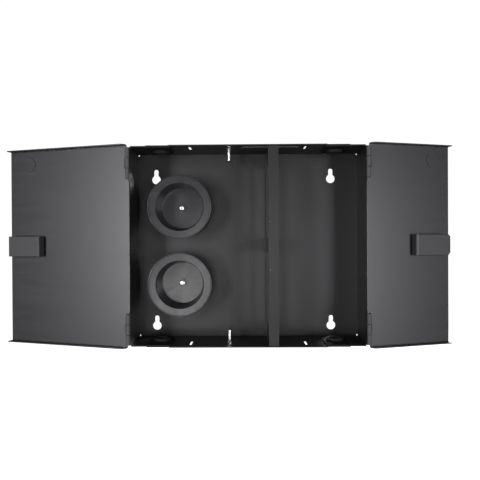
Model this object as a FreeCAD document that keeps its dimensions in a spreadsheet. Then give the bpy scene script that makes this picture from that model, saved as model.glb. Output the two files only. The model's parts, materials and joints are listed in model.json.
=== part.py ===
"""Wall-mount fiber termination box with two hinged doors.

Row frame: origin at the centre of the outer back face, +X to the right, +Z up and +Y into the wall, so
every piece of the box stands at negative Y. A "depth" is the distance in front of the back face.
Each door is drawn closed, about its own hinge axis, and then swung open by its Placement.
"""
import FreeCAD, Part
import math
import os
import Sketcher

Vector = FreeCAD.Vector

DRIVING_SIZES = [
    ("box_width", 360, "outside of the side walls"),
    ("box_height", 300, "outside of the top and bottom walls"),
    ("box_depth", 90, "back face to the front of the top and bottom walls"),
    ("gauge", 1.5, "sheet steel of the pan, the partition and the doors"),
    ("bend_radius", 1.8, "outside radius of the pan's back bends"),
    ("side_depth", 73, "front edge of the side walls"),
    ("ear_depth", 82, "front edge of the top and bottom walls outside the cable entries"),
    ("ear_end", 175.5, "from here out the top and bottom walls stop as short as the sides"),
    ("corner_hole", 2, "diameter of the bend reliefs in the back corners"),
    ("corner_inset", 2.4, "bend relief centre in from the outside faces"),
    ("entry_x", 134.25, "centre of a cable entry"),
    ("entry_width", 33.5, "width of a cable entry"),
    ("entry_depth", 20, "closed end of a cable entry"),
    ("tie_x", 87.5, "centre of a tie slot"),
    ("tie_back", 45, "back end of a tie slot"),
    ("tie_front", 75, "front end of a tie slot"),
    ("tie_width", 3.5, "width of a tie slot"),
    ("pilot_x", 96, "pilot hole beside a tie slot"),
    ("pilot_depth", 59, "depth of the pilot hole"),
    ("pilot_hole", 2.5, "diameter of the pilot hole"),
    ("vent_left", -11, "left end of the slot in the top wall"),
    ("vent_right", 78, "right end of the slot in the top wall"),
    ("vent_depth", 70, "centre line of the slot in the top wall"),
    ("vent_width", 9.2, "width of the slot in the top wall"),
    ("keyhole_left", -149.8, "left keyholes"),
    ("keyhole_right", 135.2, "right keyholes"),
    ("keyhole_upper", 107.8, "head circle of the upper keyholes"),
    ("keyhole_lower", -131.6, "head circle of the lower keyholes"),
    ("keyhole_head", 14, "diameter that a screw head passes"),
    ("keyhole_neck", 7, "width that a screw shank rests in"),
    ("keyhole_rise", 13, "head circle to the neck's end centre"),
    ("web_x", 30.6, "left face of the partition web"),
    ("web_clearance", 1, "partition ends to the top and bottom walls"),
    ("web_front", 89.9, "front face of the partition flange"),
    ("flange_width", 14.8, "partition flange, front and foot"),
    ("strike_half", 35, "half height of the latch clearance in the web"),
    ("strike_back", 76, "back edge of the latch clearance"),
    ("strike_nick", 2.5, "bend relief bitten into the partition flange"),
    ("window_height", 112, "adapter window"),
    ("window_width", 30, "adapter window"),
    ("window_z", 67, "adapter window centre above and below mid-height"),
    ("window_near", 21, "depth of the back column of windows"),
    ("window_far", 56, "depth of the front column of windows"),
    ("window_screw_span", 120.65, "adapter plate fastener spacing"),
    ("window_screw_hole", 4.8, "adapter plate fastener hole"),
    ("stud_diameter", 4, "partition weld studs"),
    ("stud_length", 9, "partition weld studs"),
    ("stud_hole", 4.6, "holes for them in the partition foot"),
    ("stud_inner_z", 40, "inner studs above and below mid-height"),
    ("stud_outer_z", 120, "outer studs above and below mid-height"),
    ("nut_flats", 7, "partition nuts across the flats"),
    ("nut_height", 3.2, "partition nuts"),
    ("thread_gap", 0.05, "radial play that stands for the thread"),
    ("spool_x", -107.2, "spool axis"),
    ("spool_z", 61, "spool axis above and below mid-height"),
    ("spool_flange", 100.6, "outside diameter of the spool flange"),
    ("spool_mouth", 75, "spool cup at its mouth"),
    ("spool_floor", 66, "spool cup at its floor"),
    ("spool_hub_root", 70, "hub outside at the wall"),
    ("spool_hub_top", 78.4, "hub outside under the flange"),
    ("spool_front", 43.5, "depth of the spool's front face"),
    ("spool_wall", 1.9, "flange thickness"),
    ("spool_base", 3, "floor thickness"),
    ("spool_lip", 0.7, "raised rim round the flange"),
    ("boss_diameter", 13, "boss round the spool screw"),
    ("boss_depth", 8, "front of the boss"),
    ("boss_recess", 10.4, "counterbore for the screw head"),
    ("boss_seat", 6.5, "screw head seat"),
    ("ejector_mark", 3.2, "round ejector marks"),
    ("standoff_diameter", 7, "spool standoffs"),
    ("standoff_height", 4, "spool standoffs"),
    ("screw_diameter", 4, "spool screw thread"),
    ("screw_head", 8.5, "spool screw head"),
    ("screw_head_height", 2.9, "spool screw head"),
    ("tray_stud_x", -29.5, "standing studs on the top and bottom walls"),
    ("tray_stud_depth", 32, "standing studs"),
    ("tray_stud_length", 15, "standing studs"),
    ("tray_stud_diameter", 5, "standing studs"),
    ("grommet_play", 0.15, "grommet to the edges of its entry"),
    ("grommet_front", 86, "front edge of a grommet"),
    ("grommet_lip", 2, "lip beyond the edges of the entry"),
    ("grommet_inner", 1.6, "thickness of the lip inside"),
    ("grommet_outer", 0.8, "thickness of the lip outside"),
    ("grommet_outer_front", 79.5, "front of the lip outside, behind the closed door"),
    ("collar_depth", 47, "centre of the cable collar"),
    ("collar_outside", 26, "cable collar"),
    ("collar_inside", 20, "cable collar"),
    ("collar_height", 4, "cable collar beyond the lip"),
    ("hinge_inset", 0.5, "hinge axis in from the side wall's outside"),
    ("hinge_depth", 83, "hinge axis"),
    ("hinge_near", 101.4, "hinge barrel, the end next to mid-height"),
    ("hinge_length", 46, "hinge barrel"),
    ("knuckle_gap", 1, "between knuckles"),
    ("knuckle_radius", 3.2, "hinge barrel"),
    ("pin_diameter", 3, "hinge pin"),
    ("pin_play", 0.05, "radial running clearance on the pin"),
    ("pin_head", 4.4, "spun-over ends of the pin"),
    ("pin_head_height", 0.5, "spun-over ends of the pin"),
    ("leaf_gauge", 1.2, "hinge leaves"),
    ("body_leaf_back", 58, "back edge of the leaf on the side wall"),
    ("body_leaf_front", 79.3, "front edge between the knuckles"),
    ("door_leaf_width", 18, "leaf on the door's outside, from the hinge axis"),
    ("door_leaf_near", 97.6, "the end of that leaf next to mid-height"),
    ("leaf_crank", 4, "hinge axis to the crank of that leaf"),
    ("open_angle", 196.6, "closed to open"),
    ("door_half_height", 153.6, "outside of the door's top and bottom flanges"),
    ("door_inner", 7.5, "hinge axis to the panel's inner face"),
    ("right_reach", 142.5, "hinge axis to the right door's free edge"),
    ("left_reach", 215.7, "hinge axis to the left door's free edge"),
    ("door_notch", 5.5, "panel cut back round the hinges"),
    ("door_edge", 0.9, "panel's edge between the hinges, short of the hinge axis"),
    ("door_edge_half", 97, "half length of that edge"),
    ("door_edge_round", 0.6, "its rounded inner corner"),
    ("door_edge_bevel", 2.5, "how far its ends slope away from the hinge axis"),
    ("door_edge_slope_half", 100.8, "half length out to the end of that slope"),
    ("door_lip_depth", 2.5, "top and bottom flanges behind the hinge axis"),
    ("door_lip_round", 7, "rounded end of those flanges"),
    ("door_bend", 2, "outside radius of the door's bends"),
    ("lock_z", 131, "lock knock-out"),
    ("lock_radius", 12.5, "lock knock-out"),
    ("lock_score", 0.8, "width of the score round the knock-out"),
    ("lock_score_depth", 0.9, "depth of that score"),
    ("lock_right", 26.6, "knock-out centre from the right door's free edge"),
    ("lock_left", 34, "knock-out centre from the left door's free edge"),
    ("latch_setback_right", 9.5, "right latch housing from its door's free edge"),
    ("latch_setback_left", 6.7, "left latch housing from its door's free edge"),
    ("latch_length", 56, "latch housing"),
    ("latch_half", 15.9, "latch housing half height"),
    ("latch_height", 15, "latch housing off the panel"),
    ("latch_wall", 2, "latch housing walls"),
    ("latch_bevel", 2.6, "bevel of the latch housing towards the hinge"),
    ("latch_round", 0.6, "its other front edges, rounded"),
    ("latch_shadow_gap", 1.2, "groove round the foot of the housing, deep and high"),
    ("neck_inset", 3, "bezel neck in from the housing's ends"),
    ("neck_half", 13.4, "bezel neck half height"),
    ("neck_wall", 2, "bezel neck"),
    ("neck_play", 0.2, "bezel neck to the panel cut-out"),
    ("bezel_rim", 2, "bezel past the housing, each way"),
    ("bezel_gauge", 1.6, "bezel plate"),
    ("bolt_throw_right", 9.2, "right bolt beyond its housing"),
    ("bolt_throw_left", 6.4, "left bolt beyond its housing"),
    ("bolt_gauge", 3, "bolt tongue"),
    ("bolt_drop", 2.4, "bolt tongue below the panel's inner face"),
    ("bolt_half", 13.6, "bolt half height"),
    ("slider_front", 11, "slider block, from the housing's end"),
    ("latch_travel", 8, "bolt travel"),
    ("spring_solid", 8, "latch spring when the bolt is drawn back"),
    ("thumb_front", 14, "thumb slide, from the housing's end"),
    ("thumb_back", 36, "thumb slide, from the housing's end"),
    ("thumb_half", 10.6, "thumb slide half height"),
    ("spring_outside", 8, "latch spring"),
    ("spring_inside", 6.4, "latch spring"),
    ("guide_diameter", 5.4, "spring guides"),
    ("guide_length", 2.5, "spring guides"),
]


class Size:
    """A number together with the spreadsheet expression that gives it."""

    def __init__(self, value, text):
        self.value = value
        self.text = text

    def __add__(self, other):
        other = as_size(other)
        return Size(self.value + other.value, f"({self.text} + {other.text})")

    def __sub__(self, other):
        other = as_size(other)
        return Size(self.value - other.value, f"({self.text} - {other.text})")

    def __mul__(self, other):
        other = as_size(other)
        return Size(self.value * other.value, f"({self.text} * {other.text})")

    def __truediv__(self, other):
        other = as_size(other)
        return Size(self.value / other.value, f"({self.text} / {other.text})")

    def __neg__(self):
        return self * -1

    def __rsub__(self, other):
        return as_size(other) - self

    __radd__ = __add__
    __rmul__ = __mul__


def as_size(item):
    if isinstance(item, Size):
        return item
    return Size(float(item), f"({float(item)})")


def square_root(size):
    return Size(math.sqrt(size.value), f"sqrt({size.text})")


def make_sheet():
    """The spreadsheet of driving sizes: name, value and meaning in each row."""
    sheet = doc.addObject("Spreadsheet::Sheet", "Sizes")
    for row, (alias, value, meaning) in enumerate(DRIVING_SIZES, 1):
        sheet.set(f"A{row}", alias)
        sheet.set(f"B{row}", str(value))
        sheet.set(f"C{row}", meaning)
        sheet.setAlias(f"B{row}", alias)
    doc.recompute()


def driving(alias):
    return Size(float(doc.Sizes.get(alias)), f"Sizes.{alias}")


# ---- outlines: lists of (x, y) reached by a line or (x, y, centre x, centre y, turn) reached by an arc,
# where turn is 1 anticlockwise and -1 clockwise. A circle is a dictionary.

def rectangle(x0, y0, x1, y1):
    return [(x0, y0), (x1, y0), (x1, y1), (x0, y1)]


def circle(x, y, diameter):
    return {"x": x, "y": y, "radius": diameter / 2}


def hexagon(x, y, across_flats):
    """Hexagon with a corner up."""
    tall = across_flats / math.sqrt(3)
    half = across_flats / 2
    return [(x, y - tall), (x + half, y - tall / 2), (x + half, y + tall / 2),
            (x, y + tall), (x - half, y + tall / 2), (x - half, y - tall / 2)]


def slot_along_y(x, y0, y1, width):
    """Obround that reaches from y0 up to y1."""
    half = width / 2
    low, high = y0 + half, y1 - half
    return [(x + half, low), (x + half, high), (x - half, high, x, high, 1),
            (x - half, low), (x + half, low, x, low, 1)]


def slot_along_x(x0, x1, y, width):
    """Obround that reaches from x0 right to x1."""
    half = width / 2
    left, right = x0 + half, x1 - half
    return [(left, y - half), (right, y - half), (right, y + half, right, y, 1),
            (left, y + half), (left, y - half, left, y, 1)]


def flipped(outline, side):
    """The outline as it is for side 1, or mirrored left to right for side -1."""
    if isinstance(outline, dict):
        return {"x": as_size(outline["x"]) * side, "y": outline["y"], "radius": outline["radius"]}
    mirrored = []
    for step in outline:
        new = (as_size(step[0]) * side, step[1])
        if len(step) > 2:
            new += (as_size(step[2]) * side, step[3], step[4] * side)
        mirrored.append(new)
    return mirrored


# ---- sketches and features

def bind(owner, path, size):
    if "Sizes." in size.text:
        owner.setExpression(path, size.text)


def fix_point(sketch, geometry, position, x=None, y=None):
    for kind, size in (("DistanceX", x), ("DistanceY", y)):
        if size is None:
            continue
        constraint = Sketcher.Constraint(kind, -1, 1, geometry, position, size.value)
        index = sketch.addConstraint(constraint)
        bind(sketch, f"Constraints[{index}]", size)


def draw_circle(sketch, outline):
    x, y, radius = (as_size(outline[key]) for key in ("x", "y", "radius"))
    shape = Part.Circle(Vector(x.value, y.value, 0), Vector(0, 0, 1), radius.value)
    geometry = sketch.addGeometry(shape, False)
    fix_point(sketch, geometry, 3, x, y)
    index = sketch.addConstraint(Sketcher.Constraint("Radius", geometry, radius.value))
    bind(sketch, f"Constraints[{index}]", radius)


def draw_arc(sketch, start, end, centre, turn):
    """An arc; returns its number and which of its ends comes first on the way round the outline."""
    first, last = (start, end) if turn > 0 else (end, start)
    angles = [math.atan2(p[1].value - centre[1].value, p[0].value - centre[0].value) for p in (first, last)]
    if angles[1] <= angles[0]:
        angles[1] += 2 * math.pi
    radius = math.hypot(start[0].value - centre[0].value, start[1].value - centre[1].value)
    whole = Part.Circle(Vector(centre[0].value, centre[1].value, 0), Vector(0, 0, 1), radius)
    geometry = sketch.addGeometry(Part.ArcOfCircle(whole, angles[0], angles[1]), False)
    return geometry, (1, 2) if turn > 0 else (2, 1)


def draw_line(sketch, start, end):
    ends = [Vector(p[0].value, p[1].value, 0) for p in (start, end)]
    return sketch.addGeometry(Part.LineSegment(*ends), False), (1, 2)


def draw_outline(sketch, outline):
    """Draw a closed outline with every corner and arc centre tied to the spreadsheet."""
    if isinstance(outline, dict):
        draw_circle(sketch, outline)
        return
    points = [(as_size(step[0]), as_size(step[1])) for step in outline]
    arcs = [step[2:] for step in outline]
    gap = math.dist([v.value for v in points[0]], [v.value for v in points[-1]])
    if gap > 1e-6:
        points.append(points[0])
        arcs.append(())
    drawn = []
    for start, end, arc in zip(points, points[1:], arcs[1:]):
        if arc:
            centre = (as_size(arc[0]), as_size(arc[1]))
            drawn.append((start, end, centre) + draw_arc(sketch, start, end, centre, arc[2]))
        else:
            drawn.append((start, end, None) + draw_line(sketch, start, end))
    for here, after in zip(drawn, drawn[1:] + drawn[:1]):
        joint = Sketcher.Constraint("Coincident", here[3], here[4][1], after[3], after[4][0])
        sketch.addConstraint(joint)
    for start, end, centre, geometry, ends in drawn:
        fix_point(sketch, geometry, ends[0], start[0], start[1])
        if centre and abs(start[1].value - end[1].value) < 1e-6:
            fix_point(sketch, geometry, 3, y=centre[1])
        elif centre:
            fix_point(sketch, geometry, 3, x=centre[0])


def new_body(label):
    body = doc.addObject("PartDesign::Body", label)
    body.Label = label
    body.AllowCompound = True
    sub_parts.append(body)
    return body


def sketch_on(body, plane, start, outlines):
    """A sketch on one of the body's own planes, moved along that plane's normal by start."""
    start = as_size(start)
    sketch = body.newObject("Sketcher::SketchObject", f"{body.Label}_sketch")
    support = next(item for item in body.Origin.OriginFeatures if item.Role == plane)
    sketch.AttachmentSupport = [(support, "")]
    sketch.MapMode = "FlatFace"
    sketch.AttachmentOffset = FreeCAD.Placement(Vector(0, 0, start.value), FreeCAD.Rotation())
    bind(sketch, "AttachmentOffset.Base.z", start)
    for outline in outlines:
        draw_outline(sketch, outline)
    doc.recompute()
    return sketch


def extrude(body, kind, plane, start, length, outlines):
    """Pad or Pocket along the plane's normal, from start and over length."""
    length = as_size(length)
    sketch = sketch_on(body, plane, start, outlines)
    feature = body.newObject(f"PartDesign::{kind}", f"{body.Label}_{kind.lower()}")
    feature.Profile = sketch
    feature.Length = length.value
    bind(feature, "Length", length)
    feature.Reversed = kind == "Pocket"
    doc.recompute()
    return feature


def pad(body, plane, start, length, *outlines):
    return extrude(body, "Pad", plane, start, length, outlines)


def pocket(body, plane, start, length, *outlines):
    before = body.Shape.Volume
    feature = extrude(body, "Pocket", plane, start, length, outlines)
    if body.Shape.Volume > before - 0.001:
        raise RuntimeError(f"{feature.Name} cuts nothing")
    return feature


def revolve(body, profile, plane="XY_Plane"):
    """Turn a profile of (radius, height) steps about the sketch's own Y axis."""
    sketch = sketch_on(body, plane, 0, [profile])
    feature = body.newObject("PartDesign::Revolution", f"{body.Label}_revolution")
    feature.Profile = sketch
    feature.ReferenceAxis = (sketch, ["V_Axis"])
    feature.Angle = 360
    doc.recompute()
    return feature


def mirror_up_down(body, features):
    """Repeat features below mid-height."""
    feature = body.newObject("PartDesign::Mirrored", f"{body.Label}_mirrored")
    feature.Originals = features
    plane = next(item for item in body.Origin.OriginFeatures if item.Role == "XY_Plane")
    feature.MirrorPlane = (plane, [""])
    body.Tip = feature
    doc.recompute()


def repeat_round(body, feature, count):
    """Repeat a feature evenly round the body's Y axis."""
    pattern = body.newObject("PartDesign::PolarPattern", f"{body.Label}_pattern")
    pattern.Originals = [feature]
    axis = next(item for item in body.Origin.OriginFeatures if item.Role == "Y_Axis")
    pattern.Axis = (axis, [""])
    pattern.Angle = 360
    pattern.Occurrences = count
    body.Tip = pattern
    doc.recompute()


def dress(body, kind, size, wanted):
    """Fillet or Chamfer the edges of the body's last feature that the test wants."""
    base = body.Tip
    edges = [f"Edge{number}" for number, edge in enumerate(base.Shape.Edges, 1) if wanted(edge.BoundBox)]
    feature = body.newObject(f"PartDesign::{kind}", f"{body.Label}_{kind.lower()}")
    feature.Base = (base, edges)
    name = "Radius" if kind == "Fillet" else "Size"
    setattr(feature, name, size.value)
    bind(feature, name, size)
    doc.recompute()


def near(value, size):
    return abs(value - size.value) < 0.01


def place(body, x=0, y=0, z=0):
    """Move a body by sizes of the sheet."""
    base = [as_size(v) for v in (x, y, z)]
    body.Placement = FreeCAD.Placement(Vector(*[v.value for v in base]), FreeCAD.Rotation())
    for axis, size in zip("xyz", base):
        bind(body, f"Placement.Base.{axis}", size)


def swing_open(body, side):
    """Put a piece that is drawn about its hinge axis on that axis, with the door open.

    A turn of open_angle one way is the same as the rest of a full turn the other way.
    """
    place(body, side * hinge_x, -driving("hinge_depth"))
    rest_of_turn = 360 - driving("open_angle")
    body.Placement.Rotation = FreeCAD.Rotation(Vector(0, 0, -side), rest_of_turn.value)
    body.setExpression("Placement.Rotation.Angle", f"{rest_of_turn.text} * 1 deg")


def band(level, low, high):
    """Start and length of a stretch of Z from low to high, or of its mirror image for level -1."""
    return (low if level > 0 else -high), high - low


# ---- the pan

def keyhole(x, z):
    """Head circle round (x, z) with its neck above."""
    head = driving("keyhole_head") / 2
    neck = driving("keyhole_neck") / 2
    shoulder = z + square_root(head * head - neck * neck)
    top = z + driving("keyhole_rise")
    return [(x + neck, shoulder), (x + neck, top), (x - neck, top, x, top, 1),
            (x - neck, shoulder), (x + neck, shoulder, x, z, 1)]


def entry_outline(side, grow, front):
    """Cable entry in plan: a U open to the front, its edges moved out by grow."""
    x = driving("entry_x")
    half = driving("entry_width") / 2 + grow
    arc_y = -(driving("entry_depth") + driving("entry_width") / 2)
    return flipped([(x + half, -front), (x + half, arc_y), (x - half, arc_y, x, arc_y, 1),
                    (x - half, -front)], side)


def make_body_pan():
    body = new_body("body_pan")
    depth = driving("box_depth")
    pad(body, "XZ_Plane", 0, depth, rectangle(-half_width, -half_height, half_width, half_height))
    dress(body, "Fillet", driving("bend_radius"), lambda box: box.YMin > -0.01)
    pocket(body, "XZ_Plane", gauge, depth - gauge,
           rectangle(gauge - half_width, gauge - half_height, half_width - gauge, half_height - gauge))

    over = 1
    top = half_height + over
    entry_side = driving("entry_x") + driving("entry_width") / 2
    side_depth = driving("side_depth")
    ear_depth = driving("ear_depth")
    ear_end = driving("ear_end")
    side_strip = rectangle(ear_end, -top, half_width + over, top)
    ear_strip = rectangle(entry_side - over, -top, ear_end + over, top)
    pocket(body, "XZ_Plane", side_depth, depth - side_depth, side_strip, flipped(side_strip, -1))
    pocket(body, "XZ_Plane", ear_depth, depth - ear_depth, ear_strip, flipped(ear_strip, -1))

    tie_x = driving("tie_x")
    tie = slot_along_y(tie_x, -driving("tie_front"), -driving("tie_back"), driving("tie_width"))
    pilot = circle(driving("pilot_x"), -driving("pilot_depth"), driving("pilot_hole"))
    through_both = [entry_outline(1, 0, depth + over), tie, pilot]
    through_both += [flipped(outline, -1) for outline in through_both]
    pocket(body, "XY_Plane", -top, 2 * top, *through_both)

    vent = slot_along_x(driving("vent_left"), driving("vent_right"), -driving("vent_depth"),
                        driving("vent_width"))
    pocket(body, "XY_Plane", half_height - gauge - over, gauge + 2 * over, vent)

    columns = (driving("keyhole_left"), driving("keyhole_right"))
    rows = (driving("keyhole_upper"), driving("keyhole_lower"))
    pocket(body, "XZ_Plane", -over, gauge + 2 * over, *[keyhole(x, z) for x in columns for z in rows])

    inset = driving("corner_inset")
    reliefs = [circle(sx * (half_width - inset), sz * (half_height - inset), driving("corner_hole"))
               for sx in (-1, 1) for sz in (-1, 1)]
    pocket(body, "XZ_Plane", -over, 2 * gauge + over, *reliefs)


# ---- the partition and its fasteners

def make_partition_bracket():
    body = new_body("partition_bracket")
    left = driving("web_x")
    right = left + driving("flange_width")
    front = driving("web_front")
    half = half_height - gauge - driving("web_clearance")
    section = [(left, -gauge), (left, -front), (right, -front), (right, gauge - front),
               (left + gauge, gauge - front), (left + gauge, -2 * gauge),
               (right, -2 * gauge), (right, -gauge)]
    pad(body, "XY_Plane", -half, 2 * half, section)

    over = 1
    windows = []
    for depth in (driving("window_near"), driving("window_far")):
        for level in (-1, 1):
            z = level * driving("window_z")
            wide, high = driving("window_width") / 2, driving("window_height") / 2
            windows.append(rectangle(-depth - wide, z - high, wide - depth, z + high))
            for end in (-1, 1):
                screw_z = z + end * driving("window_screw_span") / 2
                windows.append(circle(-depth, screw_z, driving("window_screw_hole")))
    pocket(body, "YZ_Plane", left - over, gauge + 2 * over, *windows)

    strike = driving("strike_half")
    pocket(body, "YZ_Plane", left - over, gauge + over,
           rectangle(gauge - front, -strike, -driving("strike_back"), strike))
    nick = driving("strike_nick")
    nicks = [rectangle(left - over, level * strike - 1, left + nick, level * strike + 1)
             for level in (-1, 1)]
    pocket(body, "XZ_Plane", front - 2 * gauge, 2 * gauge + over, *nicks)
    holes = [circle(stud_x, z, driving("stud_hole")) for z in stud_heights]
    pocket(body, "XZ_Plane", 0, 3 * gauge, *holes)


def make_partition_fasteners():
    studs = new_body("partition_studs")
    pad(studs, "XZ_Plane", gauge, driving("stud_length"),
        *[circle(stud_x, z, driving("stud_diameter")) for z in stud_heights])
    nuts = new_body("partition_nuts")
    bore = driving("stud_diameter") + 2 * driving("thread_gap")
    pad(nuts, "XZ_Plane", 2 * gauge, driving("nut_height"),
        *[hexagon(stud_x, z, driving("nut_flats")) for z in stud_heights],
        *[circle(stud_x, z, bore) for z in stud_heights])


# ---- slack spools

def spool_profile():
    """Half section of a spool as (radius, -depth): floor, tapered hub, front flange and screw boss."""
    front = driving("spool_front")
    wall = driving("spool_wall")
    lip = driving("spool_lip")
    floor = gauge + driving("spool_base")
    rim = driving("spool_flange") / 2
    mouth = driving("spool_mouth") / 2
    bore = driving("screw_diameter") / 2 + 0.25
    recess = driving("boss_recess") / 2
    pocket_radius = driving("standoff_diameter") / 2 + 0.2
    pocket_depth = gauge + driving("standoff_height") + 0.2
    return [
        (pocket_radius, -gauge),
        (driving("spool_hub_root") / 2, -gauge),
        (driving("spool_hub_top") / 2, wall - front),
        (rim, wall - front),
        (rim, lip - front),
        (rim - lip, -front, rim - lip, lip - front, -1),
        (rim - 2 * lip, -front),
        (rim - 3 * lip, lip - front),
        (mouth + lip, lip - front),
        (mouth, 2 * lip - front, mouth + lip, 2 * lip - front, 1),
        (driving("spool_floor") / 2, -floor),
        (driving("boss_diameter") / 2, -floor),
        (driving("boss_diameter") / 2, -driving("boss_depth")),
        (recess, -driving("boss_depth")),
        (recess, -driving("boss_seat")),
        (bore, -driving("boss_seat")),
        (bore, -pocket_depth),
        (pocket_radius, -pocket_depth),
    ]


def make_spool(name, level):
    body = new_body(name)
    revolve(body, spool_profile())
    dimple = 0.3
    mark = driving("ejector_mark")
    on_flange = pocket(body, "XZ_Plane", driving("spool_front") - driving("spool_lip") - dimple, 2,
                       circle(0, 45, mark))
    repeat_round(body, on_flange, 3)
    on_floor = pocket(body, "XZ_Plane", gauge + driving("spool_base") - dimple, 2, circle(7, 27, mark))
    repeat_round(body, on_floor, 4)
    place(body, x=driving("spool_x"), z=level * driving("spool_z"))


def make_spool_fasteners():
    x = driving("spool_x")
    heights = [level * driving("spool_z") for level in (-1, 1)]
    standoffs = new_body("spool_standoffs")
    bore = driving("screw_diameter") + 2 * driving("thread_gap")
    pad(standoffs, "XZ_Plane", gauge, driving("standoff_height"),
        *[circle(x, z, driving("standoff_diameter")) for z in heights],
        *[circle(x, z, bore) for z in heights])

    screws = new_body("spool_screws")
    seat = driving("boss_seat")
    head_top = seat + driving("screw_head_height")
    shank_start = gauge + 0.5
    shank = pad(screws, "XZ_Plane", shank_start, seat + 1 - shank_start,
                *[circle(x, z, driving("screw_diameter")) for z in heights])
    head = pad(screws, "XZ_Plane", seat, driving("screw_head_height"),
               *[circle(x, z, driving("screw_head")) for z in heights])
    dress(screws, "Fillet", driving("screw_head_height") * 0.6,
          lambda box: near(box.YMin, -head_top) and near(box.YMax, -head_top))
    arm, half, recess = 2.4, 0.55, 1.6
    for across, up in ((arm, half), (half, arm)):
        pocket(screws, "XZ_Plane", head_top - recess, 2 * recess,
               *[rectangle(x - across, z - up, x + across, z + up) for z in heights])


def make_tray_studs():
    """Two standing studs with a waist below a tapered tip, one on each of the top and bottom walls."""
    body = new_body("tray_studs")
    radius = driving("tray_stud_diameter") / 2
    wall = half_height - gauge
    tip = wall - driving("tray_stud_length")
    groove, taper = 0.5, 0.7
    waist_low, waist_top = tip + 3, tip + 4.5
    stud = [(0, wall), (radius, wall), (radius, waist_top), (radius - groove, waist_top),
            (radius - groove, waist_low), (radius, waist_low), (radius, tip + taper),
            (radius - taper, tip), (0, tip)]
    upper = revolve(body, stud, "XZ_Plane")
    mirror_up_down(body, [upper])
    place(body, x=driving("tray_stud_x"), y=-driving("tray_stud_depth"))


# ---- cable grommets

def make_grommet(name, side, level):
    body = new_body(name)
    inner_face = half_height - gauge
    lip = driving("grommet_lip")
    inner_low = inner_face - driving("grommet_inner")
    front = driving("grommet_front")
    collar_low = inner_low - driving("collar_height")
    collar_x = side * driving("entry_x")
    collar_y = -driving("collar_depth")

    core = entry_outline(side, -driving("grommet_play"), front)
    pad(body, "XY_Plane", *band(level, inner_low, half_height), core)
    pad(body, "XY_Plane", *band(level, inner_low, inner_face), entry_outline(side, lip, front))
    pad(body, "XY_Plane", *band(level, half_height, half_height + driving("grommet_outer")),
        entry_outline(side, lip, driving("grommet_outer_front")))
    pad(body, "XY_Plane", *band(level, collar_low, inner_low),
        circle(collar_x, collar_y, driving("collar_outside")))
    pocket(body, "XY_Plane", *band(level, collar_low - 1, half_height + 2),
           circle(collar_x, collar_y, driving("collar_inside")))


# ---- hinges

def knuckle_band(number):
    """Low and high of one of the three knuckles, counted away from mid-height."""
    gap = driving("knuckle_gap")
    length = (driving("hinge_length") - 2 * gap) / 3
    low = driving("hinge_near") + number * (length + gap)
    return low, low + length


def pin_bore():
    return circle(0, 0, driving("pin_diameter") + 2 * driving("pin_play"))


def make_body_leaf(name, side, level):
    """Leaf on the side wall's inner face, with the two outer knuckles. Drawn about the hinge axis."""
    body = new_body(name)
    near_end = driving("hinge_near")
    far_end = half_height - gauge - 0.2
    outer = half_width - gauge - hinge_x
    inner = outer - driving("leaf_gauge")
    axis_depth = driving("hinge_depth")
    back = axis_depth - driving("body_leaf_back")
    front = axis_depth - driving("body_leaf_front")
    pad(body, "XY_Plane", *band(level, near_end, far_end),
        flipped(rectangle(inner, front, outer, back), side))
    for number in (0, 2):
        stretch = band(level, *knuckle_band(number))
        pad(body, "XY_Plane", *stretch, flipped(rectangle(inner, 1.5, outer, 8), side))
        pad(body, "XY_Plane", *stretch, circle(0, 0, 2 * driving("knuckle_radius")))
    pocket(body, "XY_Plane", *band(level, near_end - 1, near_end + driving("hinge_length") + 1), pin_bore())
    place(body, side * hinge_x, -axis_depth)


def make_door_leaf(name, side, level):
    """Leaf on the door's outer face with a cranked arm to the middle knuckle."""
    body = new_body(name)
    leaf = driving("leaf_gauge")
    crank = driving("leaf_crank")
    outside = driving("door_inner") + gauge
    near_end = driving("door_leaf_near")
    far_end = driving("hinge_near") + driving("hinge_length")
    pad(body, "XY_Plane", *band(level, near_end, far_end),
        flipped(rectangle(-driving("door_leaf_width"), -outside - leaf, -crank, -outside), side))
    low, high = knuckle_band(1)
    arm = [(-crank - leaf, -outside - leaf), (-crank, -outside - leaf), (-crank, -leaf / 2), (0, -leaf / 2),
           (0, leaf / 2), (-crank - leaf, leaf / 2)]
    pad(body, "XY_Plane", *band(level, low, high), flipped(arm, side))
    pad(body, "XY_Plane", *band(level, low, high), circle(0, 0, 2 * driving("knuckle_radius")))
    pocket(body, "XY_Plane", *band(level, low - 1, high + 1), pin_bore())
    swing_open(body, side)


def make_hinge_pin(name, side, level):
    body = new_body(name)
    radius = driving("pin_diameter") / 2
    head = driving("pin_head") / 2
    head_height = driving("pin_head_height")
    low = driving("hinge_near")
    high = low + driving("hinge_length")
    profile = [(0, low - head_height), (head, low - head_height), (head, low), (radius, low),
               (radius, high), (head, high), (head, high + head_height), (0, high + head_height)]
    if level < 0:
        profile = [(radius_here, -as_size(z)) for radius_here, z in profile]
    revolve(body, profile, "XZ_Plane")
    place(body, side * hinge_x, -driving("hinge_depth"))


# ---- doors, drawn closed about the hinge axis with the free edge towards -X on the right door

def lock_outline(reach, setback):
    """C-shaped score round the lock knock-out, left whole towards the free edge."""
    x = setback - reach
    z = driving("lock_z")
    outer = driving("lock_radius") + driving("lock_score") / 2
    inner = driving("lock_radius") - driving("lock_score") / 2
    across, up = math.cos(math.radians(115)), math.sin(math.radians(115))
    return [(x + outer * across, z - outer * up),
            (x + outer * across, z + outer * up, x, z, 1),
            (x + inner * across, z + inner * up),
            (x + inner * across, z - inner * up, x, z, -1)]


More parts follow.
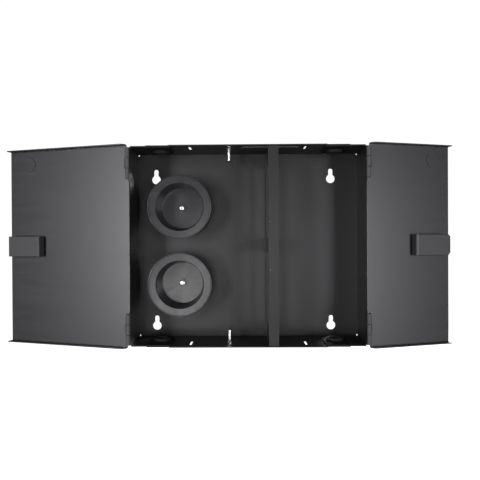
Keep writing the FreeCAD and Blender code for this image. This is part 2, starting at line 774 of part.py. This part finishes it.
def make_door_panel(name, side):
    """Flat panel with a flange along its top and its bottom, cut back round the hinges."""
    body = new_body(name)
    reach = reaches[side]
    inner = driving("door_inner")
    outer = inner + gauge
    half = driving("door_half_height")
    notch = driving("door_notch")
    edge = driving("door_edge")
    edge_half = driving("door_edge_half")
    slope = edge + driving("door_edge_bevel")
    slope_half = driving("door_edge_slope_half")
    panel = [(-reach, -half), (-notch, -half), (-notch, -slope_half), (-slope, -slope_half),
             (-edge, -edge_half), (-edge, edge_half), (-slope, slope_half), (-notch, slope_half),
             (-notch, half), (-reach, half)]
    pad(body, "XZ_Plane", inner, gauge, flipped(panel, side))
    dress(body, "Fillet", driving("door_edge_round"),
          lambda box: near(box.YMin, -inner) and near(box.YMax, -inner)
          and near(box.XMin, -edge * side) and near(box.XMax, -edge * side))

    lip_depth = driving("door_lip_depth")
    rounding = driving("door_lip_round")
    lip = [(-reach, -inner), (-notch, -inner), (-notch, lip_depth - rounding),
           (-notch - rounding, lip_depth, -notch - rounding, lip_depth - rounding, 1), (-reach, lip_depth)]
    for level in (-1, 1):
        pad(body, "XY_Plane", *band(level, half - gauge, half), flipped(lip, side))
    dress(body, "Fillet", driving("door_bend"),
          lambda box: near(box.YMin, -outer) and near(box.YMax, -outer) and box.XLength > 50)

    latch_end = reach - setbacks[side]
    cut = driving("neck_inset") - driving("neck_play")
    cut_half = driving("neck_half") + driving("neck_play")
    cut_out = rectangle(cut - latch_end, -cut_half, driving("latch_length") - cut - latch_end, cut_half)
    pocket(body, "XZ_Plane", inner - 1, gauge + 2, flipped(cut_out, side))
    lock = lock_outline(reach, driving("lock_right" if side > 0 else "lock_left"))
    pocket(body, "XZ_Plane", inner, driving("lock_score_depth"), flipped(lock, side))
    swing_open(body, side)


# ---- latches. Outlines give distances back from the housing's end nearest the free edge.

def along_latch(side, near_end, far_end, low, high):
    """Rectangle in the door's plane, from near_end to far_end back from the housing's end."""
    end = setbacks[side] - reaches[side]
    return flipped(rectangle(end + near_end, low, end + far_end, high), side)


def make_latch_housing(name, side):
    """Box open towards the panel, with a mouth for the bolt and a guide for the spring."""
    body = new_body(name)
    panel = driving("door_inner")
    back = panel - driving("latch_height")
    length = driving("latch_length")
    half = driving("latch_half")
    wall = driving("latch_wall")
    gap = driving("latch_shadow_gap")
    pad(body, "XZ_Plane", back, driving("latch_height") - gap, along_latch(side, 0, length, -half, half))
    hinge_end = (setbacks[side] - reaches[side] + length) * side
    dress(body, "Chamfer", driving("latch_bevel"),
          lambda box: near(box.YMin, -back) and near(box.YMax, -back) and near(box.XMin, hinge_end)
          and near(box.XMax, hinge_end))
    dress(body, "Fillet", driving("latch_round"),
          lambda box: near(box.YMin, -back) and near(box.YMax, -back))
    pad(body, "XZ_Plane", panel - 2 * gap, 2 * gap,
        along_latch(side, gap, length - gap, gap - half, half - gap))
    inside = half - wall
    pocket(body, "XZ_Plane", back + wall, driving("latch_height"),
           along_latch(side, wall, length - wall, -inside, inside))
    tongue_top = panel - driving("bolt_drop")
    play = driving("neck_play")
    pocket(body, "XZ_Plane", tongue_top - driving("bolt_gauge") - play, driving("bolt_gauge") + 2 * play,
           along_latch(side, -1, wall + 1, -inside, inside))
    guide(body, side, length - wall - driving("guide_length"), length - wall / 2)
    swing_open(body, side)


def guide(body, side, near_end, far_end):
    """Round peg that centres the spring, between two distances back from the housing's end."""
    end = setbacks[side] - reaches[side]
    start = end + near_end if side > 0 else -(end + far_end)
    pad(body, "YZ_Plane", start, as_size(far_end) - near_end,
        circle(-spring_depth, 0, driving("guide_diameter")))


def make_latch_bezel(name, side):
    """Frame on the door's outside whose neck passes through the panel."""
    body = new_body(name)
    panel = driving("door_inner")
    outside = panel + gauge
    rim = driving("bezel_rim")
    inset = driving("neck_inset")
    length = driving("latch_length")
    half = driving("latch_half")
    neck_half = driving("neck_half")
    wall = driving("neck_wall")
    neck_start = panel - 2
    pad(body, "XZ_Plane", outside, driving("bezel_gauge"),
        along_latch(side, -rim, length + rim, -half - rim, half + rim))
    front = outside + driving("bezel_gauge")
    dress(body, "Chamfer", driving("bezel_gauge") / 2,
          lambda box: near(box.YMin, -front) and near(box.YMax, -front))
    pad(body, "XZ_Plane", neck_start, outside - neck_start,
        along_latch(side, inset, length - inset, -neck_half, neck_half))
    pocket(body, "XZ_Plane", neck_start - 1, driving("latch_height"),
           along_latch(side, inset + wall, length - inset - wall, wall - neck_half, neck_half - wall))
    swing_open(body, side)


def make_latch_bolt(name, side):
    """Slider block with the tongue in front and a spring guide behind."""
    body = new_body(name)
    half = driving("bolt_half")
    top = driving("door_inner") - driving("bolt_drop")
    tongue_low = top - driving("bolt_gauge")
    block_low = driving("door_inner") - driving("latch_height") + driving("latch_wall") + 0.3
    front, back = driving("slider_front"), slider_back
    pad(body, "XZ_Plane", block_low, top - block_low, along_latch(side, front, back, -half, half))
    pad(body, "XZ_Plane", tongue_low, driving("bolt_gauge"),
        along_latch(side, -throws[side], front + 1, -half, half))
    end = (setbacks[side] - reaches[side] - throws[side]) * side
    dress(body, "Chamfer", driving("bolt_gauge") * 0.6,
          lambda box: near(box.XMin, end) and near(box.XMax, end)
          and near(box.YMin, -top) and near(box.YMax, -top))
    guide(body, side, back - 1, back + driving("guide_length"))
    swing_open(body, side)


def make_thumb_slide(name, side):
    """Ribbed pad that stands on the slider block and shows through the bezel."""
    body = new_body(name)
    start = driving("door_inner") - driving("bolt_drop")
    plate_top = driving("door_inner") + gauge - 0.5
    front, back = driving("thumb_front"), driving("thumb_back")
    half = driving("thumb_half")
    pad(body, "XZ_Plane", start, plate_top - start, along_latch(side, front, back, -half, half))
    ribs = 5
    pitch = (back - front) / ribs
    ridges = [along_latch(side, front + number * pitch, front + number * pitch + pitch * 0.45, -half, half)
              for number in range(ribs)]
    pad(body, "XZ_Plane", plate_top, 1.4, *ridges)
    swing_open(body, side)


def make_latch_spring(name, side):
    """Outer shape of the compression spring between the slider block and the housing's end wall."""
    body = new_body(name)
    end = setbacks[side] - reaches[side]
    near_end = end + slider_back
    far_end = end + driving("latch_length") - driving("latch_wall")
    start = near_end if side > 0 else -far_end
    pad(body, "YZ_Plane", start, far_end - near_end,
        circle(-spring_depth, 0, driving("spring_outside")),
        circle(-spring_depth, 0, driving("spring_inside")))
    swing_open(body, side)


def check_everything():
    for item in doc.Objects:
        if "Invalid" in item.State or "Error" in item.State:
            raise RuntimeError(f"{item.Name} has failed: {item.State}")
    for body in sub_parts:
        if body.Shape.isNull() or not body.Shape.isValid() or not body.Shape.Solids:
            raise RuntimeError(f"{body.Label} has no valid solid")


def write_step_files():
    os.makedirs("parts", exist_ok=True)
    for body in sub_parts:
        body.Shape.exportStep(f"parts/{body.Label}.step")
        print(f"{body.Label}: {len(body.Shape.Solids)} solid(s), {body.Shape.Volume:.0f} mm3")


doc = FreeCAD.newDocument("fiber_termination_box")
sub_parts = []
make_sheet()

gauge = driving("gauge")
half_width = driving("box_width") / 2
half_height = driving("box_height") / 2
hinge_x = half_width - driving("hinge_inset")
reaches = {1: driving("right_reach"), -1: driving("left_reach")}
setbacks = {1: driving("latch_setback_right"), -1: driving("latch_setback_left")}
throws = {1: driving("bolt_throw_right"), -1: driving("bolt_throw_left")}
stud_x = driving("web_x") + (driving("flange_width") + gauge) / 2
stud_heights = [level * driving(name) for level in (-1, 1) for name in ("stud_inner_z", "stud_outer_z")]
spring_depth = driving("door_inner") - driving("latch_height") / 2
slider_back = (driving("latch_length") - driving("latch_wall")
               - driving("latch_travel") - driving("spring_solid"))

make_body_pan()
make_partition_bracket()
make_partition_fasteners()
make_spool("upper_spool", 1)
make_spool("lower_spool", -1)
make_spool_fasteners()
make_tray_studs()
for level, level_name in ((1, "upper"), (-1, "lower")):
    for side, side_name in ((1, "right"), (-1, "left")):
        corner = f"{level_name}_{side_name}"
        make_grommet(f"{corner}_cable_grommet", side, level)
        make_body_leaf(f"{corner}_hinge_body_leaf", side, level)
        make_door_leaf(f"{corner}_hinge_door_leaf", side, level)
        make_hinge_pin(f"{corner}_hinge_pin", side, level)
for side, side_name in ((1, "right"), (-1, "left")):
    make_door_panel(f"{side_name}_door_panel", side)
    make_latch_housing(f"{side_name}_latch_housing", side)
    make_latch_bezel(f"{side_name}_latch_bezel", side)
    make_latch_bolt(f"{side_name}_latch_bolt", side)
    make_thumb_slide(f"{side_name}_latch_thumb_slide", side)
    make_latch_spring(f"{side_name}_latch_spring", side)

doc.recompute()
check_everything()
write_step_files()
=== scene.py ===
"""Looks of the wall-mount fiber termination box: materials, soft details, light and camera."""
import json
import math

import bmesh
import bpy
from mathutils import Matrix, Vector


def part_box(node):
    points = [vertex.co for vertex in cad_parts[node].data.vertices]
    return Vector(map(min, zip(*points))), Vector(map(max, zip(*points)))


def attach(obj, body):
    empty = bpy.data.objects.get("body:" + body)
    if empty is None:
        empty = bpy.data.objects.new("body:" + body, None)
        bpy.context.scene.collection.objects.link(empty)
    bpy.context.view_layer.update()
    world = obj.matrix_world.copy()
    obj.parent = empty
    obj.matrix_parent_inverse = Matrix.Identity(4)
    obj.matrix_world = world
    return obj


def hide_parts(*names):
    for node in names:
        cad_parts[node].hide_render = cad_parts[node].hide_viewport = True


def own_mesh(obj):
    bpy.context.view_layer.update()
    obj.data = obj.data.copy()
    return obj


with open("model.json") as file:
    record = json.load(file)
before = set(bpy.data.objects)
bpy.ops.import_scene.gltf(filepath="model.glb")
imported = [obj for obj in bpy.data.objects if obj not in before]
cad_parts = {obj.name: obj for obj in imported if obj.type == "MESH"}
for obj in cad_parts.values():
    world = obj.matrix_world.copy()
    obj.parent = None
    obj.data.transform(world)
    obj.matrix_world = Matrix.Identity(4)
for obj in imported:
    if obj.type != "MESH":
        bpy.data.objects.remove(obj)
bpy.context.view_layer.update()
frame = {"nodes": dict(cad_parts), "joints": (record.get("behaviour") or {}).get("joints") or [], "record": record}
record = frame["record"]
nodes = frame["nodes"]
joints = {joint["name"]: joint for joint in frame["joints"]}
mounts = {mount["name"]: mount for mount in record["mounts"]}

MM = 0.001
SIDES = ("right", "left")
LEVELS = ("upper", "lower")


# ---- material building blocks

class Shader:
    """A material's node tree with short calls for the nodes used here."""

    def __init__(self, name):
        self.material = bpy.data.materials.new(name)
        self.material.use_nodes = True
        self.tree = self.material.node_tree
        self.surface = self.tree.nodes["Principled BSDF"]
        self.place = self.tree.nodes.new("ShaderNodeTexCoord").outputs["Object"]

    def node(self, kind, **inputs):
        made = self.tree.nodes.new(kind)
        for key, value in inputs.items():
            self.feed(made.inputs[key.replace("_", " ")], value)
        return made

    def feed(self, socket, value):
        if isinstance(value, bpy.types.NodeSocket):
            self.tree.links.new(value, socket)
        else:
            socket.default_value = value

    def set(self, **inputs):
        for key, value in inputs.items():
            self.feed(self.surface.inputs[key.replace("_", " ")], value)

    def noise(self, scale, detail=2.0, roughness=0.5, place=None):
        made = self.node("ShaderNodeTexNoise", Scale=scale, Detail=detail, Roughness=roughness)
        self.feed(made.inputs["Vector"], place or self.place)
        return made.outputs["Fac"]

    def stretched(self, x, y, z):
        """Object coordinates scaled on each axis, for streaks."""
        made = self.node("ShaderNodeMapping", Vector=self.place)
        made.inputs["Scale"].default_value = (x, y, z)
        return made.outputs["Vector"]

    def ramp(self, value, low, high, out_low, out_high):
        made = self.node("ShaderNodeMapRange", Value=value)
        ends = {"From Min": low, "From Max": high, "To Min": out_low, "To Max": out_high}
        for key, number in ends.items():
            self.feed(made.inputs[key], number)
        return made.outputs["Result"]

    def math(self, operation, first, second):
        made = self.tree.nodes.new("ShaderNodeMath")
        made.operation = operation
        self.feed(made.inputs[0], first)
        self.feed(made.inputs[1], second)
        return made.outputs["Value"]

    def joined(self, x, y, z):
        made = self.node("ShaderNodeCombineXYZ", X=x, Y=y, Z=z)
        return made.outputs["Vector"]

    def mix(self, factor, first, second):
        made = self.tree.nodes.new("ShaderNodeMix")
        made.data_type = "RGBA"
        self.feed(made.inputs[0], factor)
        self.feed(made.inputs[6], first)
        self.feed(made.inputs[7], second)
        return made.outputs[2]

    def bump(self, height, distance, strength=1.0, below=None):
        made = self.node("ShaderNodeBump", Height=height, Distance=distance, Strength=strength)
        if below is not None:
            self.feed(made.inputs["Normal"], below)
        return made.outputs["Normal"]

    def rounded(self, radius):
        """The surface direction with its edges rounded off."""
        made = self.node("ShaderNodeBevel", Radius=radius)
        made.samples = 4
        return made.outputs["Normal"]

    def edges(self, radius):
        """1 along outside and inside edges of the metal, 0 on the flats."""
        flat = self.tree.nodes.new("ShaderNodeNewGeometry").outputs["Normal"]
        dot = self.tree.nodes.new("ShaderNodeVectorMath")
        dot.operation = "DOT_PRODUCT"
        self.feed(dot.inputs[0], self.rounded(radius))
        self.feed(dot.inputs[1], flat)
        return self.ramp(dot.outputs["Value"], 0.995, 0.85, 0.0, 1.0)


def grey(level, blue=0.0):
    return (level, level, level + blue, 1.0)


def powder_coat(name, barrel_sheen=False):
    """Fine satin black powder: orange peel, grain, faint wipe marks and lighter edges, partly thinned paint and
    partly a painted highlight.

    On a hinge barrel it is rougher from the barrel's back forwards, and lighter grey there as a painted sheen.
    """
    s = Shader(name)
    peel = s.noise(420, 3.0)
    grain = s.noise(2600, 2.0)
    cloud = s.noise(9, 4.0, 0.6)
    wipe = s.noise(14, 3.0, 0.6, s.stretched(1.0, 1.0, 9.0))
    speck = s.ramp(s.noise(5200, 1.0), 0.66, 0.74, 0.0, 1.0)
    edge = s.edges(0.7 * MM)
    colour = s.mix(s.ramp(cloud, 0.3, 0.7, 0.0, 1.0), grey(0.005), grey(0.007))
    colour = s.mix(s.math("MULTIPLY", speck, 0.4), colour, grey(0.04))
    # Painted highlight, in part: the edges are mixed towards a lighter grey, partly for thinned paint and partly
    # for light caught on rounded edges.
    colour = s.mix(s.math("MULTIPLY", edge, 0.45), colour, grey(0.045, 0.002))
    rough = s.math("ADD", s.ramp(grain, 0.3, 0.7, 0.35, 0.41), s.ramp(wipe, 0.3, 0.7, -0.02, 0.03))
    # Painted sheen: from the barrel's back forwards the hinge leaves turn a lighter grey, standing in for the
    # broad highlight on the lit barrels; they are also made rougher.
    if barrel_sheen:
        pin_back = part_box("upper_right_hinge_pin")[1].y
        barrel_back = pin_back + 1.0 * MM
        apart = s.tree.nodes.new("ShaderNodeSeparateXYZ")
        s.feed(apart.inputs[0], s.place)
        painted_sheen_band = s.ramp(apart.outputs["Y"], barrel_back, barrel_back + 0.5 * MM, 1.0, 0.0)
        colour = s.mix(painted_sheen_band, colour, grey(0.05))
        rough = s.math("ADD", rough, s.math("MULTIPLY", painted_sheen_band, 0.4))
    s.set(Base_Color=colour, Roughness=rough, IOR=1.5)
    normal = s.bump(peel, 0.10 * MM, 0.6)
    normal = s.bump(grain, 0.008 * MM, 0.6, normal)
    s.set(Normal=normal)
    return s.material


def spool_plastic():
    """Black plastic from a turned mould: fine rings, flow lines out from the gate, scuffs.

    The two spools mirror each other about mid-height, so the distance from the axis uses the size of z.
    """
    s = Shader("spool_plastic")
    low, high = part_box("upper_spool")
    axis = (low + high) / 2
    apart = s.tree.nodes.new("ShaderNodeSeparateXYZ")
    s.feed(apart.inputs[0], s.place)
    across = s.math("SUBTRACT", apart.outputs["X"], axis.x)
    up = s.math("SUBTRACT", s.math("ABSOLUTE", apart.outputs["Z"], 0.0), axis.z)
    radius_squared = s.math("ADD", s.math("MULTIPLY", across, across), s.math("MULTIPLY", up, up))
    radius = s.math("SQRT", radius_squared, 0.0)
    angle = s.math("ARCTAN2", up, across)
    rings = s.noise(1500, 3.0, 0.7, s.joined(radius, 0.0, 0.0))
    spokes = s.noise(3.0, 4.0, 0.7, s.joined(s.math("SINE", angle, 0.0), s.math("COSINE", angle, 0.0), 0.0))
    flow = s.noise(60, 4.0, 0.6)
    scuff = s.ramp(s.noise(240, 5.0, 0.7), 0.62, 0.75, 0.0, 1.0)
    edge = s.edges(0.5 * MM)
    colour = s.mix(flow, grey(0.022, 0.001), grey(0.031, 0.002))
    # Painted highlight: edges and rims are mixed towards a lighter grey, as where they catch the light.
    colour = s.mix(s.math("MULTIPLY", edge, 0.3), colour, grey(0.06, 0.002))
    rough = s.math("ADD", s.ramp(spokes, 0.35, 0.65, 0.18, 0.25), s.math("MULTIPLY", scuff, 0.1))
    s.set(Base_Color=colour, Roughness=rough, IOR=1.5)
    s.set(Normal=s.bump(rings, 0.006 * MM, 1.0, s.bump(flow, 0.06 * MM, 0.4)))
    return s.material


def latch_plastic():
    """Spark-eroded texture on black nylon."""
    s = Shader("latch_plastic")
    grain = s.noise(1900, 3.0)
    cloud = s.noise(70, 3.0)
    edge = s.edges(0.5 * MM)
    colour = s.mix(cloud, grey(0.013, 0.001), grey(0.019, 0.001))
    # Painted highlight: edges are mixed towards a lighter grey, as where rounded edges catch the light.
    colour = s.mix(s.math("MULTIPLY", edge, 0.4), colour, grey(0.055, 0.002))
    s.set(Base_Color=colour, Roughness=s.ramp(grain, 0.3, 0.7, 0.50, 0.58), IOR=1.5)
    s.set(Normal=s.bump(grain, 0.03 * MM, 0.6, s.rounded(1.0 * MM)))
    return s.material


def greased_pin():
    """Hinge pin, dull and nearly black with mottled dust: the dark colour is painted shade for the gaps between
    the knuckles, where the pin shows.
    """
    s = Shader("greased_pin")
    dust = s.noise(400, 4.0, 0.6)
    # Painted shade: near-black colour, so that the knuckle gaps read as dark as their shade would.
    colour = s.mix(dust, grey(0.002), grey(0.006))
    s.set(Base_Color=colour, Roughness=s.ramp(dust, 0.3, 0.7, 0.65, 0.85), IOR=1.25)
    s.set(Normal=s.bump(dust, 0.03 * MM, 0.6))
    return s.material


def grommet_rubber():
    """Matt black rubber with bloom and dust in its grain."""
    s = Shader("grommet_rubber")
    grain = s.noise(2200, 3.0)
    bloom = s.noise(120, 5.0, 0.7)
    colour = s.mix(s.ramp(bloom, 0.45, 0.75, 0.0, 1.0), grey(0.004), grey(0.012))
    s.set(Base_Color=colour, Roughness=s.ramp(bloom, 0.3, 0.7, 0.65, 0.82), IOR=1.3)
    s.set(Normal=s.bump(grain, 0.04 * MM, 0.6))
    return s.material


def zinc():
    """Bright zinc over turned steel: tool marks and small dull patches."""
    s = Shader("zinc_plated_steel")
    turned = s.noise(900, 2.0, 0.5, s.stretched(1.0, 6.0, 6.0))
    patch = s.noise(700, 4.0, 0.65)
    colour = s.mix(s.ramp(patch, 0.35, 0.7, 0.0, 1.0), (0.78, 0.78, 0.79, 1.0), (0.62, 0.62, 0.64, 1.0))
    s.set(Base_Color=colour, Metallic=1.0, Roughness=s.ramp(patch, 0.3, 0.7, 0.24, 0.40))
    s.set(Normal=s.bump(turned, 0.03 * MM, 0.5))
    return s.material


def spring_steel():
    """Drawn wire with lengthwise lines and a trace of oil."""
    s = Shader("spring_steel")
    lines = s.noise(1500, 3.0)
    oil = s.noise(300, 3.0)
    colour = s.mix(oil, (0.50, 0.50, 0.51, 1.0), (0.38, 0.37, 0.36, 1.0))
    s.set(Base_Color=colour, Metallic=1.0, Roughness=s.ramp(oil, 0.3, 0.7, 0.22, 0.38))
    s.set(Normal=s.bump(lines, 0.02 * MM, 0.5))
    return s.material


MATERIALS = {
    "black_powder_coat": powder_coat("black_powder_coat"),
    "spool_plastic": spool_plastic(),
    "latch_plastic": latch_plastic(),
    "grommet_rubber": grommet_rubber(),
    "zinc_plated_steel": zinc(),
    "spring_steel": spring_steel(),
}


def dress_cad_nodes():
    """Each node gets its slot's material, except that the hinge leaves get a coat with a painted sheen on their
    barrels, and the pins a near-black coat of painted shade.
    """
    leaf_coat = powder_coat("hinge_leaf_coat", barrel_sheen=True)
    pin_shade = greased_pin()
    for entry in record["subparts"]:
        name = entry["node"]
        material = MATERIALS[entry["material_slot"]]
        if name.endswith("_leaf"):
            material = leaf_coat
        elif name.endswith("_pin"):
            material = pin_shade
        piece = nodes[name]
        piece.data.materials.clear()
        piece.data.materials.append(material)


# ---- pieces made here

def new_piece(name, mesh, slot, body):
    piece = bpy.data.objects.new(name, mesh)
    bpy.context.scene.collection.objects.link(piece)
    mesh.materials.append(MATERIALS[slot])
    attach(piece, body)
    return piece


def axes_along(direction):
    """Two unit vectors square to a direction."""
    first = direction.orthogonal().normalized()
    return first, direction.cross(first).normalized()


def tube_mesh(name, path, radius):
    """Closed tube of a wire that follows the path's points."""
    around = 8
    never_along_a_wire = Vector((0.0123, 0.0217, 1.0))
    bm = bmesh.new()
    rings = []
    for number, point in enumerate(path):
        before = path[max(number - 1, 0)]
        after = path[min(number + 1, len(path) - 1)]
        tangent = (after - before).normalized()
        first = tangent.cross(never_along_a_wire).normalized()
        second = tangent.cross(first).normalized()
        ring = []
        for step in range(around):
            angle = 2 * math.pi * step / around
            offset = first * math.cos(angle) + second * math.sin(angle)
            ring.append(bm.verts.new(point + radius * offset))
        rings.append(ring)
    for here, after in zip(rings, rings[1:]):
        for step in range(around):
            other = (step + 1) % around
            bm.faces.new((here[step], here[other], after[other], after[step]))
    bm.faces.new(list(reversed(rings[0])))
    bm.faces.new(rings[-1])
    bmesh.ops.recalc_face_normals(bm, faces=bm.faces)
    for face in bm.faces:
        face.smooth = len(face.verts) == 4
    mesh = bpy.data.meshes.new(name)
    bm.to_mesh(mesh)
    bm.free()
    return mesh


def make_latch_spring(side):
    """Compression spring with closed end turns, in the space of its CAD sleeve."""
    node = f"{side}_latch_spring"
    low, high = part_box(node)
    joint = joints[f"{side}_latch_slide"]
    direction = Vector(joint["axis"]).normalized()
    centre = (low + high) / 2
    outside = high.z - low.z
    length = ((high.x - low.x) - outside * abs(direction.y)) / abs(direction.x)
    wire = 0.7 * MM
    turns, closed_turns = 7, 1
    steps_per_turn = 28
    radius = outside / 2 - wire / 2
    first, second = axes_along(direction)
    free = length - wire - 2 * closed_turns * wire
    path = []
    for step in range(turns * steps_per_turn + 1):
        turn = step / steps_per_turn
        if turn < closed_turns:
            along = turn * wire
        elif turn > turns - closed_turns:
            along = closed_turns * wire + free + (turn - turns + closed_turns) * wire
        else:
            along = closed_turns * wire + free * (turn - closed_turns) / (turns - 2 * closed_turns)
        angle = 2 * math.pi * turn
        offset = radius * (math.cos(angle) * first + math.sin(angle) * second)
        path.append(centre + direction * (along + wire / 2 - length / 2) + offset)
    mesh = tube_mesh(f"{side}_coil", path, wire / 2)
    spring = new_piece(f"{side}_latch_coil_spring", mesh, "spring_steel", f"{side}_door")
    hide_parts(node)
    travel = joint["range_m"][1]
    return spring, (length - travel) / length, direction, centre + direction * length / 2


def make_membrane(level, side):
    """Slit rubber membrane across a cable collar: dished petals parted by slits."""
    mount = mounts[f"{level}_{side}_cable_entry"]
    centre = Vector(mount["pos_m"])
    up = mount["axis"][2]
    radius = mount["dims"]["r_mm"] * MM
    half_length = mount["dims"]["length_mm"] * MM / 2
    thick = 0.7 * MM
    tip_share = 0.6
    dish_depth = 0.9 * MM
    set_back = 2.6 * MM
    petals, slit = 8, math.radians(2.2)
    inner = 1.2 * MM
    rings, across = 6, 7
    base = centre.z + up * (half_length - set_back)
    bm = bmesh.new()
    for petal in range(petals):
        start = 2 * math.pi * petal / petals + slit / 2
        sweep = 2 * math.pi / petals - slit
        layers = []
        for face_share in (0.0, 1.0):
            grid = []
            for ring in range(rings + 1):
                share = ring / rings
                distance = inner + (radius - inner) * share
                dish = dish_depth * (1 - share) ** 2
                thickness = thick * (tip_share + (1 - tip_share) * share)
                row = []
                for step in range(across + 1):
                    angle = start + sweep * step / across
                    z = base - up * (dish + face_share * thickness)
                    x = centre.x + distance * math.cos(angle)
                    y = centre.y + distance * math.sin(angle)
                    row.append(bm.verts.new((x, y, z)))
                grid.append(row)
            layers.append(grid)
        top, bottom = layers
        for ring in range(rings):
            for step in range(across):
                for grid in layers:
                    bm.faces.new((grid[ring][step], grid[ring + 1][step], grid[ring + 1][step + 1],
                                  grid[ring][step + 1]))
        for ring in range(rings):
            for step in (0, across):
                bm.faces.new((top[ring][step], top[ring + 1][step],
                              bottom[ring + 1][step], bottom[ring][step]))
        for step in range(across):
            for ring in (0, rings):
                bm.faces.new((top[ring][step], top[ring][step + 1],
                              bottom[ring][step + 1], bottom[ring][step]))
    bmesh.ops.recalc_face_normals(bm, faces=bm.faces)
    mesh = bpy.data.meshes.new(f"{level}_{side}_membrane")
    bm.to_mesh(mesh)
    bm.free()
    return new_piece(f"{level}_{side}_entry_membrane", mesh, "grommet_rubber", "enclosure")


# ---- stage, light and camera

def make_floor():
    """A pale floor below the box, which is seen but throws no light up at it."""
    size, height = 4.0, -0.62
    mesh = bpy.data.meshes.new("floor")
    corners = [(-size, -size, height), (size, -size, height), (size, size, height), (-size, size, height)]
    mesh.from_pydata(corners, [], [(0, 1, 2, 3)])
    floor = bpy.data.objects.new("floor", mesh)
    bpy.context.scene.collection.objects.link(floor)
    s = Shader("pale_floor")
    s.set(Base_Color=(0.9, 0.9, 0.9, 1.0), Roughness=0.8)
    s.surface.inputs["Emission Color"].default_value = (1.0, 1.0, 1.0, 1.0)
    s.surface.inputs["Emission Strength"].default_value = 0.93
    mesh.materials.append(s.material)
    floor.visible_glossy = False
    floor.visible_diffuse = False


def make_world():
    """White to look at, and a dim grey room for what it lights."""
    world = bpy.data.worlds.new("studio")
    bpy.context.scene.world = world
    world.use_nodes = True
    tree = world.node_tree
    background = tree.nodes["Background"]
    background.inputs["Color"].default_value = (1.0, 1.0, 1.0, 1.0)
    seen, lit = 1.03, 0.07
    rays = tree.nodes.new("ShaderNodeLightPath")
    level = tree.nodes.new("ShaderNodeMapRange")
    level.inputs["To Min"].default_value = lit
    level.inputs["To Max"].default_value = seen
    tree.links.new(rays.outputs["Is Camera Ray"], level.inputs["Value"])
    tree.links.new(level.outputs["Result"], background.inputs["Strength"])


def make_softbox(name, turn, lift, width, height, radiance, colour=(1.0, 1.0, 1.0)):
    """Area light that faces the box, turn degrees to the right of square on and lift degrees up.

    Its radiance is that many times the white of the background.
    """
    distance = 2.8
    light = bpy.data.lights.new(name, "AREA")
    light.shape = "RECTANGLE"
    light.size = width
    light.size_y = height
    light.energy = radiance * math.pi * width * height
    light.color = colour
    lamp = bpy.data.objects.new(name, light)
    bpy.context.scene.collection.objects.link(lamp)
    across, up = math.radians(turn), math.radians(lift)
    away = Vector((math.sin(across) * math.cos(up), -math.cos(across) * math.cos(up), math.sin(up)))
    lamp.location = distance * away
    lamp.rotation_euler = (-away).to_track_quat("-Z", "Y").to_euler()
    lamp.visible_camera = False


def make_lights():
    """Two tall cool lights for the doors, two small ones for the inside, and one for the back."""
    cool = (1.0, 0.99, 1.05)
    make_softbox("softbox_left", turn=-37, lift=1, width=0.5, height=1.3, radiance=33.0, colour=cool)
    make_softbox("softbox_right", turn=34, lift=-4, width=0.6, height=1.2, radiance=28.0, colour=cool)
    make_softbox("softbox_front", turn=-1, lift=-2, width=0.7, height=0.4, radiance=4.7)
    make_softbox("softbox_low", turn=-10, lift=-9, width=0.3, height=0.3, radiance=10.0)
    make_softbox("softbox_behind", turn=160, lift=20, width=0.9, height=0.9, radiance=14.0)


def make_camera():
    """The view: nearly square on, from 0.87 m in front of the wall plane.

    The angles are in radians: pitch about the horizontal, yaw about the vertical and roll about the view.
    """
    location = Vector((1.0448, -873.5463, 13.476)) * MM
    pitch, yaw, roll = -0.0058, -0.0161, 0.0052
    focal_in_frames = 1.107875
    right0 = Vector((math.cos(yaw), -math.sin(yaw), 0))
    front0 = Vector((math.sin(yaw), math.cos(yaw), 0))
    up0 = Vector((0, 0, 1))
    up1 = math.cos(pitch) * up0 - math.sin(pitch) * front0
    front1 = math.sin(pitch) * up0 + math.cos(pitch) * front0
    right = math.cos(roll) * right0 - math.sin(roll) * up1
    up = math.sin(roll) * right0 + math.cos(roll) * up1
    data = bpy.data.cameras.new("camera")
    data.sensor_width = 36
    data.lens = focal_in_frames * data.sensor_width
    data.clip_start = 0.01
    camera = bpy.data.objects.new("camera", data)
    bpy.context.scene.collection.objects.link(camera)
    turn = Matrix((right, up, -front1)).transposed().to_4x4()
    camera.matrix_world = Matrix.Translation(location) @ turn
    bpy.context.scene.camera = camera


make_camera()
dress_cad_nodes()
for side in SIDES:
    spring, keep, direction, fixed_end = make_latch_spring(side)
    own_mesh(spring)
    for level in LEVELS:
        make_membrane(level, side)
make_floor()
make_world()
make_lights()
bpy.context.scene.view_settings.view_transform = "Standard"
